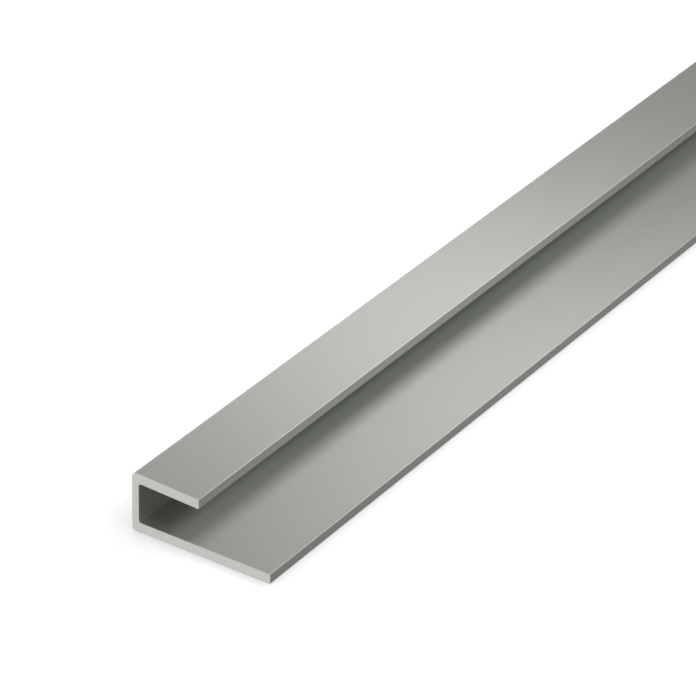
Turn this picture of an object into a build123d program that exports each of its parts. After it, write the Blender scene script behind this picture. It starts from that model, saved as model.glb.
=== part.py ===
from build123d import *
import os
from math import cos, radians, tan

# Unequal-leg U-profile in rigid PVC, one extruded length cut square at both ends.
# It lies on its wide leg. X runs across the section, with the web at -X and the open
# side at +X, Y runs along the length, and Z is up.
# The origin is the middle of the underside. Sizes are millimetres.

# Length that the profile is sold in
profile_length = 1000.0

# Channel that grips the edge of a panel
panel_gap = 6.0  # clear height at the root of the channel
front_leg_toe_in = 2.1  # degrees by which the front leg leans in over the panel

# Legs and web, each leg measured from the back of the web to its lip
fixing_leg_width = 22.0
fixing_leg_thickness = 1.5
front_leg_width = 10.7
front_leg_thickness = 1.5
web_thickness = 1.1

# Rounded edges
outer_corner_radius = 0.8  # where the web turns into the legs, outside
channel_corner_radius = 0.4  # the same corners inside the channel
lip_edge_radius = 0.15  # both edges of each lip

# Places across the section
web_outer_x = -fixing_leg_width / 2
web_inner_x = web_outer_x + web_thickness
fixing_lip_x = web_outer_x + fixing_leg_width
front_lip_x = web_outer_x + front_leg_width

# Heights at the root of the channel
channel_floor_z = fixing_leg_thickness
channel_roof_z = channel_floor_z + panel_gap


def front_leg_inner_z(x):
    """Height of the front leg's inner face, which comes down evenly from the root of the channel."""
    return channel_roof_z - (x - web_inner_x) * tan(radians(front_leg_toe_in))


def front_leg_outer_z(x):
    """Height of the front leg's outer face, a wall's thickness above the inner one and parallel to it."""
    return front_leg_inner_z(x) + front_leg_thickness / cos(radians(front_leg_toe_in))


def profile_section():
    """The rounded section, drawn flat: x across it and y for its height. Its outline runs from the web's foot
    out round the fixing leg, into the channel, and back over the front leg."""
    corners = [
        ((web_outer_x, 0), outer_corner_radius),
        ((fixing_lip_x, 0), lip_edge_radius),
        ((fixing_lip_x, channel_floor_z), lip_edge_radius),
        ((web_inner_x, channel_floor_z), channel_corner_radius),
        ((web_inner_x, channel_roof_z), channel_corner_radius),
        ((front_lip_x, front_leg_inner_z(front_lip_x)), lip_edge_radius),
        ((front_lip_x, front_leg_outer_z(front_lip_x)), lip_edge_radius),
        ((web_outer_x, front_leg_outer_z(web_outer_x)), outer_corner_radius),
    ]
    points = [point for point, corner_radius in corners]
    radii = [corner_radius for point, corner_radius in corners]
    return make_face(FilletPolyline(points, radius=radii, close=True))


def u_profile():
    """The whole length, drawn from the section at its far end to the near one."""
    far_end = Plane.XZ.offset(-profile_length / 2)
    return extrude(far_end * profile_section(), amount=profile_length)


os.makedirs("parts", exist_ok=True)
export_step(u_profile(), "parts/u_profile.step")
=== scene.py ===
import math
import bpy
import numpy as np
from mathutils import Matrix, Vector


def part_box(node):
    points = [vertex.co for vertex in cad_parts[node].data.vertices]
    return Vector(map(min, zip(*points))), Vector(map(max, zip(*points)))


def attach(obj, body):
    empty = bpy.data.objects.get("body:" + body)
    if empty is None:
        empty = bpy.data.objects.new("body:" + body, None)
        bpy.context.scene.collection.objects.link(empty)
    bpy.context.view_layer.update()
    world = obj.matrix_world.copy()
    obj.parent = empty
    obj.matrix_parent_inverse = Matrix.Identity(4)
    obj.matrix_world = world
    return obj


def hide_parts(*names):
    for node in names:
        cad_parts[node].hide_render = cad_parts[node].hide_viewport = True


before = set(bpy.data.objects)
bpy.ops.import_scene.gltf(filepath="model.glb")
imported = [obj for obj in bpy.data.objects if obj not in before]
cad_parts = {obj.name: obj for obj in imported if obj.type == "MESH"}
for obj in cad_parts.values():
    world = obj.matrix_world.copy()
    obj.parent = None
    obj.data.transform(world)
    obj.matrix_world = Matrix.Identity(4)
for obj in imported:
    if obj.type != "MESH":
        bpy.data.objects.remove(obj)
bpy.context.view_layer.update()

# A length of grey unequal-leg U-profile, lying on its wide leg on a white studio table.
# X runs across the section from the web, Y along the length and Z up, all in metres.

profileLow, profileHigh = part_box("u_profile")
profileLength = profileHigh.y - profileLow.y
nearEnd = profileLow.y  # the sawn end that the camera looks at
print("frame loaded, profile", [round(side, 4) for side in profileHigh - profileLow])


# The extruded length

extrusion = {
    "panelGap": 0.006,  # height of the channel at its root
    "fixingLegThickness": 0.0015,
    "frontLegWidth": 0.0107,  # from the back of the web
    "frontLegThickness": 0.0015,
    "frontLegToeIn": math.radians(2.1),
    "webThickness": 0.0011,
    "outerCornerRadius": 0.0008,
    "channelCornerRadius": 0.0004,
    "lipEdgeRadius": 0.00015,
    "sawnEdgeRadius": 0.00008,  # the saw's arris, rubbed down
    "cornerSteps": 12,
    "sawnEdgeSteps": 4,
    "spans": 120,  # faces along the length
}


def sectionCorners(sizes, low, high):
    # The sharp corners of the section, anticlockwise from the web's foot, the radius of each, and a 1 for
    # those of the lips, whose edges are painted lighter: partly handling wear, partly a painted highlight.
    # The front leg falls evenly from the web, at the toe-in angle.
    webInner = low.x + sizes["webThickness"]
    frontLip = low.x + sizes["frontLegWidth"]
    floor = low.z + sizes["fixingLegThickness"]
    roof = floor + sizes["panelGap"]
    slope = math.tan(sizes["frontLegToeIn"])
    rise = sizes["frontLegThickness"] / math.cos(sizes["frontLegToeIn"])
    lipInner = roof - slope * (frontLip - webInner)
    corners = np.array([
        (low.x, low.z),
        (high.x, low.z),
        (high.x, floor),
        (webInner, floor),
        (webInner, roof),
        (frontLip, lipInner),
        (frontLip, lipInner + rise),
        (low.x, roof + rise + slope * sizes["webThickness"]),
    ])
    outer, channel, lip = sizes["outerCornerRadius"], sizes["channelCornerRadius"], sizes["lipEdgeRadius"]
    radii = np.array([outer, lip, lip, channel, channel, lip, lip, outer])
    # 1 marks a lip corner whose edges are painted lighter: partly handling wear, partly a painted highlight
    rubbedAndHighlit = np.array([0, 1, 1, 0, 0, 1, 1, 0], float)
    return corners, radii, rubbedAndHighlit


def roundedOutline(corners, radii, rubbedAndHighlit, steps):
    # Each corner becomes an arc tangent to its two sides. With n1 and n2 the outward normals of the sides
    # before and after it, its centre is corner - r (n1 + n2) / (1 + n1 . n2), and its points are
    # centre + r n while n turns evenly from n1 to n2. In a hollow corner n turns the other way and r is
    # negative. A lip corner is painted lighter, partly for wear and partly as a painted highlight; this
    # lightening is half a sine wave over its arc, 1 in the middle.
    sides = np.roll(corners, -1, axis=0) - corners
    sides /= np.linalg.norm(sides, axis=1, keepdims=True)
    after = np.stack([sides[:, 1], -sides[:, 0]], axis=1)
    before = np.roll(after, 1, axis=0)
    alike = (before * after).sum(axis=1)
    turn = np.arctan2(before[:, 0] * after[:, 1] - before[:, 1] * after[:, 0], alike)
    radius = radii * np.sign(turn)
    centre = corners - (radius / (1 + alike))[:, None] * (before + after)
    start = np.arctan2(before[:, 1], before[:, 0])
    share = np.linspace(0, 1, steps + 1)
    angle = start[:, None] + turn[:, None] * share
    normals = np.stack([np.cos(angle), np.sin(angle)], axis=2)
    points = centre[:, None] + radius[:, None, None] * normals
    rubAndHighlight = rubbedAndHighlit[:, None] * np.sin(math.pi * share)
    return points.reshape(-1, 2), normals.reshape(-1, 2), rubAndHighlight.reshape(-1)


def lengthStations(low, high, edgeRadius, edgeSteps, spans):
    # Stations along Y, each with how far the outline is drawn in there and how far its normal leans
    # towards the end. At angle a of the rubbed edge the outline is in by r (1 - sin a) and the station lies
    # r (1 - cos a) from the end.
    angle = np.linspace(0, math.pi / 2, edgeSteps + 1)
    fromEnd = edgeRadius * (1 - np.cos(angle))
    drawnIn = edgeRadius * (1 - np.sin(angle))
    middle = np.linspace(low + edgeRadius, high - edgeRadius, spans + 1)[1:-1]
    flat = np.zeros_like(middle)
    places = np.concatenate([low + fromEnd, middle, (high - fromEnd)[::-1]])
    insets = np.concatenate([drawnIn, flat, drawnIn[::-1]])
    leans = np.concatenate([-np.cos(angle), flat, np.cos(angle)[::-1]])
    return places, insets, leans


def buildExtrusion(name, sizes, low, high):
    # The skin is a surface of two parameters: point (v, u) is the outline's point u at station v, moved in
    # along the outline's normal by that station's inset. A flat face closes each end. The lightening at a
    # point, partly wear and partly a painted highlight, is that of its corner or of the sawn edge,
    # whichever is more.
    outline, normals, rubAndHighlightAcross = roundedOutline(*sectionCorners(sizes, low, high), sizes["cornerSteps"])
    places, insets, leans = lengthStations(
        low.y, high.y, sizes["sawnEdgeRadius"], sizes["sawnEdgeSteps"], sizes["spans"]
    )
    across = outline[None] - insets[:, None, None] * normals[None]
    along = np.broadcast_to(places[:, None], across.shape[:2])
    skin = np.stack([across[..., 0], along, across[..., 1]], axis=2)
    facing = normals[None] * np.sqrt(1 - leans**2)[:, None, None]
    lean = np.broadcast_to(leans[:, None], across.shape[:2])
    skinNormals = np.stack([facing[..., 0], lean, facing[..., 1]], axis=2)

    stations, around = skin.shape[:2]
    index = np.arange(stations * around).reshape(stations, around)
    ahead = np.roll(index, -1, axis=1)
    quads = np.stack([index[:-1], index[1:], ahead[1:], ahead[:-1]], axis=2).reshape(-1, 4)
    faces = quads.tolist() + [index[0].tolist(), index[-1][::-1].tolist()]

    mesh = bpy.data.meshes.new(name)
    mesh.from_pydata(skin.reshape(-1, 3).tolist(), [], faces)
    mesh.polygons.foreach_set("use_smooth", np.ones(len(faces), bool))
    mesh.normals_split_custom_set_from_vertices(skinNormals.reshape(-1, 3).tolist())
    # lighter edges on the lip corners and around the sawn ends: partly wear, partly a painted highlight
    rubAndHighlight = np.maximum(np.abs(leans)[:, None], rubAndHighlightAcross[None]).astype(np.float32)
    mesh.attributes.new("rubAndHighlight", "FLOAT", "POINT").data.foreach_set("value", rubAndHighlight.reshape(-1))
    mesh.validate()
    piece = bpy.data.objects.new(name, mesh)
    bpy.context.scene.collection.objects.link(piece)
    return piece


extrudedLength = buildExtrusion("extruded_length", extrusion, profileLow, profileHigh)
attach(extrudedLength, "root")
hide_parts("u_profile")
print("extrusion built,", len(extrudedLength.data.polygons), "faces")


# Shader sums

class Field:
    # A shader socket that can stand in a sum, so that 1 - mask * 0.3 adds its own Math nodes. A field
    # without a socket is the start of a tree.
    def __init__(self, tree, socket=None):
        self.tree = tree
        self.socket = socket

    def node(self, kind, settings, inputs, output=0):
        # Any node: its settings first, then the value or the link of each named or numbered socket.
        made = self.tree.nodes.new(kind)
        for setting, value in settings.items():
            setattr(made, setting, value)
        for place, value in inputs.items():
            if isinstance(value, Field):
                self.tree.links.new(value.socket, made.inputs[place])
            else:
                made.inputs[place].default_value = value
        return Field(self.tree, made.outputs[output] if len(made.outputs) else None)

    def maths(self, operation, first, second=0.0):
        return self.node("ShaderNodeMath", {"operation": operation}, {0: first, 1: second})

    def __add__(self, other):
        return self.maths("ADD", self, other)

    def __radd__(self, other):
        return self.maths("ADD", other, self)

    def __sub__(self, other):
        return self.maths("SUBTRACT", self, other)

    def __rsub__(self, other):
        return self.maths("SUBTRACT", other, self)

    def __mul__(self, other):
        return self.maths("MULTIPLY", self, other)

    def __rmul__(self, other):
        return self.maths("MULTIPLY", other, self)

    def __abs__(self):
        return self.maths("ABSOLUTE", self)

    def sine(self):
        return self.maths("SINE", self)

    def orMore(self, other):
        # the larger of the two
        return self.maths("MAXIMUM", self, other)

    def ramp(self, low, high):
        # 0 below low, 1 above high, eased between them
        settings = {"interpolation_type": "SMOOTHSTEP"}
        return self.node("ShaderNodeMapRange", settings, {"Value": self, "From Min": low, "From Max": high})

    def blend(self, first, second):
        # A colour that goes from first to second as this value goes from 0 to 1. Sockets 6 and 7 are the
        # node's two colours, and output 2 is their mix.
        return self.node("ShaderNodeMix", {"data_type": "RGBA"}, {"Factor": self, 6: first, 7: second}, 2)


def newMaterial(name):
    # an empty material and the start of its tree
    material = bpy.data.materials.new(name)
    material.use_nodes = True
    material.node_tree.nodes.clear()
    return material, Field(material.node_tree)


def shadeOf(red, green, blue):
    # A colour as it is read off a screen, 0 to 255, in the linear light that shaders use. A screen's curve
    # is a straight toe and then a power, of the share raised by an offset.
    fullLevel, toeEnd, toeSlope, offset, power = 255, 0.04045, 12.92, 0.055, 2.4
    shares = np.array([red, green, blue]) / fullLevel
    linear = np.where(shares <= toeEnd, shares / toeSlope, ((shares + offset) / (1 + offset)) ** power)
    return (*linear.tolist(), 1.0)


# Silver grey PVC: smooth from the die, paler on its edges from handling wear plus a painted highlight, pale
# and dull where the saw went through, with painted brightness on the sawn end

pvc = {
    "skin": shadeOf(167, 170, 164),
    "deepSkin": shadeOf(164, 167, 161),  # where the skin's variation is least
    # lighter lip and end edges: partly handling wear, partly a painted highlight along the edges
    "rubbedAndHighlitSkin": shadeOf(190, 193, 187),
    # paler sawn end: partly the dull cut, partly painted brightness standing in for the light on the end
    # face
    "sawn": shadeOf(207, 210, 204),
    "sawnLine": shadeOf(199, 202, 196),  # in the valleys of the saw's lines
    "sawnDepth": 0.00003,  # how far from the end the sawn surface counts
    "sawnFade": 0.000015,  # over how much of that it takes over from the skin
    "roughness": 0.5,
    "roughnessSwing": 0.06,
    "sawnRoughness": 0.64,
    "specular": 0.16,
    "refraction": 1.53,
    "cloudScale": 26.0,
    "cloudDetail": 2.0,
    "cloudShare": 0.6,  # of the skin's variation, the rest being the die's lines
    "variationMiddle": 0.5,  # where the roughness is the plain one
    "dieLineScale": (1500.0, 5.0, 1500.0),  # fine across the section, long along it
    "dieLineDetail": 3.0,
    "dieLineHeight": 0.000004,
    "grainScale": 9000.0,
    "grainDetail": 1.0,
    "bladeCentre": (0.14, 0.0, 0.07),  # beside the section, half way along so that it serves both ends
    "sawLinesPerMetre": 4200.0,  # of distance from that centre, which makes about 1200 across the section
    "sawWander": 40.0,  # radians by which the saw's lines stray
    "sawLineShare": 0.4,  # of the sawn surface's relief, the rest being grain
    "sawHeight": 0.000012,
}


def pvcMaterial(values):
    material, start = newMaterial("silver_grey_pvc")
    place = start.node("ShaderNodeTexCoord", {}, {}, "Object")
    cloud = place.node("ShaderNodeTexNoise", {}, {
        "Vector": place, "Scale": values["cloudScale"], "Detail": values["cloudDetail"],
    })
    stretched = place.node("ShaderNodeMapping", {}, {"Vector": place, "Scale": values["dieLineScale"]})
    dieLines = stretched.node("ShaderNodeTexNoise", {}, {
        "Vector": stretched, "Scale": 1.0, "Detail": values["dieLineDetail"],
    })
    grain = place.node("ShaderNodeTexNoise", {}, {
        "Vector": place, "Scale": values["grainScale"], "Detail": values["grainDetail"],
    })
    # where the edges are painted lighter, partly wear and partly a painted highlight
    rubAndHighlight = start.node("ShaderNodeAttribute", {"attribute_name": "rubAndHighlight"}, {}, "Fac")

    # `sawn` is 1 on the sawn ends. The saw's lines are arcs about the blade's centre, 0 in their valleys
    # and 1 on their crests.
    along = place.node("ShaderNodeSeparateXYZ", {}, {"Vector": place}, "Y")
    end = profileLength / 2 - values["sawnDepth"]
    sawn = abs(along).ramp(end, end + values["sawnFade"])
    fromBlade = place.node(
        "ShaderNodeVectorMath", {"operation": "DISTANCE"}, {0: place, 1: values["bladeCentre"]}, "Value"
    )
    turns = fromBlade * (values["sawLinesPerMetre"] * math.tau) + cloud * values["sawWander"]
    sawLines = (turns.sine() + 1.0) * 0.5

    variation = cloud * values["cloudShare"] + dieLines * (1 - values["cloudShare"])
    # lip and end edges painted lighter: partly handling wear, partly a painted highlight
    skin = rubAndHighlight.blend(variation.blend(values["deepSkin"], values["skin"]), values["rubbedAndHighlitSkin"])
    sawRelief = sawLines * values["sawLineShare"] + grain * (1 - values["sawLineShare"])
    # the sawn ends take the paler sawn colour, partly the dull cut and partly painted brightness on the end
    # face
    colour = sawn.blend(skin, sawRelief.blend(values["sawnLine"], values["sawn"]))
    swing = (variation - values["variationMiddle"]) * values["roughnessSwing"]
    roughness = values["roughness"] + swing + sawn * (values["sawnRoughness"] - values["roughness"])
    relief = dieLines * (1 - sawn) * values["dieLineHeight"] + sawRelief * sawn * values["sawHeight"]
    bump = relief.node("ShaderNodeBump", {}, {"Strength": 1.0, "Distance": 1.0, "Height": relief})

    shader = start.node("ShaderNodeBsdfPrincipled", {}, {
        "Base Color": colour,
        "Roughness": roughness,
        "Normal": bump,
        "Specular IOR Level": values["specular"],
        "IOR": values["refraction"],
    })
    shader.node("ShaderNodeOutputMaterial", {}, {"Surface": shader})
    return material


extrudedLength.data.materials.append(pvcMaterial(pvc))
print("material made")


# White table and white surroundings

surroundings = {
    "tableSize": 60.0,
    "tableDrop": 0.00002,  # below the profile, so that the two faces don't coincide
    "tableShade": 0.12,
    "seenGlow": 0.98,  # what the camera sees of the table before any lamp
    "contactReach": 0.008,  # how far out the soft shadow at the table's contact goes
    "contactDepth": 0.56,
    "contactSamples": 16,
    "ambient": 0.1,
    "white": (1.0, 1.0, 1.0, 1.0),
}


def seenDirectly(start):
    # 1 for what the camera sees, also through a reflection or glass, and 0 for what lights other surfaces
    camera, glossy, through = (start.node("ShaderNodeLightPath", {}, {}, name) for name in (
        "Is Camera Ray", "Is Glossy Ray", "Is Transmission Ray"
    ))
    return camera.orMore(glossy).orMore(through)


def tableMaterial(values):
    # A dull grey, which throws a little light back at the profile, and a glow that only the camera sees.
    # The glow is white up to the soft shadow where the profile stands.
    material, start = newMaterial("white_table")
    shade = values["tableShade"]
    matt = start.node("ShaderNodeBsdfDiffuse", {}, {"Color": (shade, shade, shade, 1.0)})
    openness = start.node(
        "ShaderNodeAmbientOcclusion", {"samples": values["contactSamples"]},
        {"Distance": values["contactReach"]}, "AO"
    )
    contact = 1 - (1 - openness) * values["contactDepth"]
    strength = seenDirectly(start) * contact * values["seenGlow"]
    glow = strength.node("ShaderNodeEmission", {}, {"Strength": strength})
    both = start.node("ShaderNodeAddShader", {}, {0: matt, 1: glow})
    both.node("ShaderNodeOutputMaterial", {}, {"Surface": both})
    return material


def layTable(values):
    half = values["tableSize"] / 2
    level = profileLow.z - values["tableDrop"]
    corners = [(-half, -half, level), (half, -half, level), (half, half, level), (-half, half, level)]
    mesh = bpy.data.meshes.new("table")
    mesh.from_pydata(corners, [], [(0, 1, 2, 3)])
    mesh.materials.append(tableMaterial(values))
    table = bpy.data.objects.new("table", mesh)
    bpy.context.scene.collection.objects.link(table)


def lightSurroundings(values):
    world = bpy.data.worlds.new("studio")
    bpy.context.scene.world = world
    world.use_nodes = True
    world.node_tree.nodes.clear()
    start = Field(world.node_tree)
    strength = seenDirectly(start) * (1 - values["ambient"]) + values["ambient"]
    around = start.node("ShaderNodeBackground", {}, {"Color": values["white"], "Strength": strength})
    around.node("ShaderNodeOutputWorld", {}, {"Surface": around})


layTable(surroundings)
lightSurroundings(surroundings)


# Lamps: places are from the middle of the near end's underside

plainLight = (1.0, 1.0, 1.0)
allRound = math.radians(180)

lamps = {
    "overheadPool": {  # the pool of light beyond the near end, and the soft shadow under the front leg
        "place": (0.009, 0.0585, 0.079),
        "aim": (0.009, 0.0585, 0.0),
        "size": (0.038, 0.04),
        "watts": 0.0559,
        "spread": allRound,
        "colour": (1.0, 0.961, 0.995),  # a touch pink, against the fill's green
    },
    "overheadRun": {  # the rest of the length
        "place": (0.05, 0.7, 0.5),
        "aim": (0.0, 0.7, 0.0),
        "size": (0.62, 0.25),
        "watts": 0.2,
        "spread": math.radians(50),
        "colour": plainLight,
    },
    "sideFill": {  # both lips and the open side of the channel
        "place": (0.42, 0.2, 0.49),
        "aim": (0.0, 0.15, 0.0),
        "size": (0.8, 0.2),
        "watts": 1.64,
        "spread": allRound,
        "colour": (0.97, 1.0, 0.98),
    },
    "sideFar": {  # the same side further along
        "place": (0.42, 0.9, 0.49),
        "aim": (0.0, 0.85, 0.0),
        "size": (0.5, 0.2),
        "watts": 1.3,
        "spread": allRound,
        "colour": plainLight,
    },
    "frontLow": {  # the near end's sawn face, from its own level, so that the legs don't glare from behind
        "place": (-0.03, -0.66, 0.0045),
        "aim": (0.0, 0.0, 0.0045),
        "size": (0.4, 0.007),
        "watts": 2.6,
        "spread": allRound,
        "colour": plainLight,
    },
    "frontHigh": {  # the floor of the channel behind that face
        "place": (-0.03, -0.64, 0.14),
        "aim": (0.0, 0.0, 0.004),
        "size": (0.4, 0.07),
        "watts": 0.96,
        "spread": allRound,
        "colour": plainLight,
    },
    "farLow": {  # the far end's sawn face
        "place": (0.0, 1.66, 0.0045),
        "aim": (0.0, 1.0, 0.0045),
        "size": (0.4, 0.007),
        "watts": 4.2,
        "spread": allRound,
        "colour": plainLight,
    },
    "backLow": {  # the back of the web
        "place": (-0.45, 0.5, 0.012),
        "aim": (0.0, 0.5, 0.0045),
        "size": (1.0, 0.02),
        "watts": 1.2,
        "spread": allRound,
        "colour": plainLight,
    },
}


def hangLamp(name, values):
    datum = Vector((0.0, nearEnd, 0.0))
    place, aim = datum + Vector(values["place"]), datum + Vector(values["aim"])
    lamp = bpy.data.lights.new(name, "AREA")
    lamp.shape = "RECTANGLE"
    lamp.size, lamp.size_y = values["size"]
    lamp.energy = values["watts"]
    lamp.color = values["colour"]
    lamp.spread = values["spread"]
    holder = bpy.data.objects.new(name, lamp)
    holder.location = place
    holder.rotation_euler = (aim - place).to_track_quat("-Z", "Y").to_euler()
    holder.visible_camera = False
    bpy.context.scene.collection.objects.link(holder)


for lampName, lampValues in lamps.items():
    hangLamp(lampName, lampValues)
print("table, surroundings and", len(lamps), "lamps set")


# Camera: the photograph's view of the near end, given by its angles and by where the web's foot shows

view = {
    "frameWidth": 696,  # pixels
    "azimuth": math.radians(33.03),
    "elevation": math.radians(30.61),
    "roll": math.radians(1.47),
    "focalPixels": 3878.0,
    "metresPerPixel": 0.00013104,  # at the near end
    "webFootPixel": (132.12, 529.37),
    "sensorWidth": 36.0,  # millimetres
    "clipStart": 0.05,
    "clipEnd": 100.0,
}


def setCamera(values):
    # The camera looks along `ahead`. The web's foot lies focalPixels ahead of it, and as many pixels to the
    # right of and below its axis as the picture shows, each pixel being metresPerPixel there.
    turn, tilt, roll = values["azimuth"], values["elevation"], values["roll"]
    level = Vector((math.cos(turn), math.sin(turn), 0))
    ahead = Vector((-math.sin(turn) * math.cos(tilt), math.cos(turn) * math.cos(tilt), -math.sin(tilt)))
    below = ahead.cross(level)
    right = math.cos(roll) * level - math.sin(roll) * below
    down = math.sin(roll) * level + math.cos(roll) * below
    middle = values["frameWidth"] / 2
    across, drop = (pixel - middle for pixel in values["webFootPixel"])
    webFoot = Vector((profileLow.x, nearEnd, profileLow.z))
    step = values["metresPerPixel"]
    camera = bpy.data.cameras.new("camera")
    camera.sensor_width = values["sensorWidth"]
    camera.lens = values["focalPixels"] / values["frameWidth"] * values["sensorWidth"]
    camera.clip_start = values["clipStart"]
    camera.clip_end = values["clipEnd"]
    holder = bpy.data.objects.new("camera", camera)
    holder.location = webFoot - step * (across * right + drop * down + values["focalPixels"] * ahead)
    holder.rotation_mode = "QUATERNION"
    holder.rotation_quaternion = Matrix((right, -down, -ahead)).transposed().to_quaternion()
    bpy.context.scene.collection.objects.link(holder)
    bpy.context.scene.camera = holder


setCamera(view)
bpy.context.scene.view_settings.view_transform = "Standard"
print("camera set")
